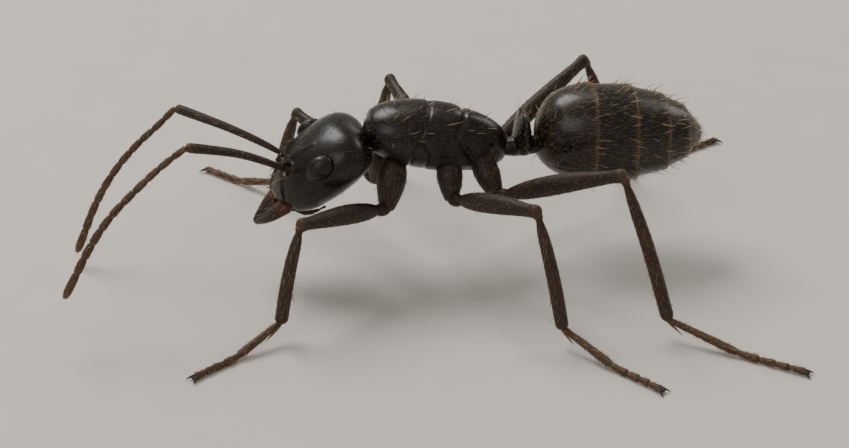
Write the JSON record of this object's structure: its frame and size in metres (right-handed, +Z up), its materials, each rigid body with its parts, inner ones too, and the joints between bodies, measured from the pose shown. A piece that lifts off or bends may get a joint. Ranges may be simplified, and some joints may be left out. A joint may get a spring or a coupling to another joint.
{
  "type": "ant",
  "caption": "Black worker ant at life size, standing level in mid-stride with its head lowered and its elbowed feelers reaching ahead.",
  "frame": {"origin": "on the ground, under the middle of the ant's outer box", "axes": "the head faces -X, the ant's left side faces -Y, +Z is up"},
  "size_m": [0.0144, 0.0116, 0.0037],
  "materials": {
    "body": "satin black cuticle",
    "limb": "satin dark brown cuticle",
    "jaw": "smooth reddish brown cuticle",
    "eye": "faceted black eye",
    "hair": "fine pale golden bristles"
  },
  "bodies": {
    "root": {"head": "body", "pronotum": "body", "mesothorax": "body", "propodeum": "body", "petiole": "body", "gaster": "body", "eye_left": "eye", "mandible_left": "jaw", "scape_left": "limb", "funiculus_left": "limb", "coxa_fore_left": "limb", "femur_fore_left": "limb", "tibia_fore_left": "limb", "tarsus_fore_left": "limb", "coxa_mid_left": "limb", "femur_mid_left": "limb", "tibia_mid_left": "limb", "tarsus_mid_left": "limb", "coxa_hind_left": "limb", "femur_hind_left": "limb", "tibia_hind_left": "limb", "tarsus_hind_left": "limb", "eye_right": "eye", "mandible_right": "jaw", "scape_right": "limb", "funiculus_right": "limb", "coxa_fore_right": "limb", "femur_fore_right": "limb", "tibia_fore_right": "limb", "tarsus_fore_right": "limb", "coxa_mid_right": "limb", "femur_mid_right": "limb", "tibia_mid_right": "limb", "tarsus_mid_right": "limb", "coxa_hind_right": "limb", "femur_hind_right": "limb", "tibia_hind_right": "limb", "tarsus_hind_right": "limb"}
  },
  "joints": []
}
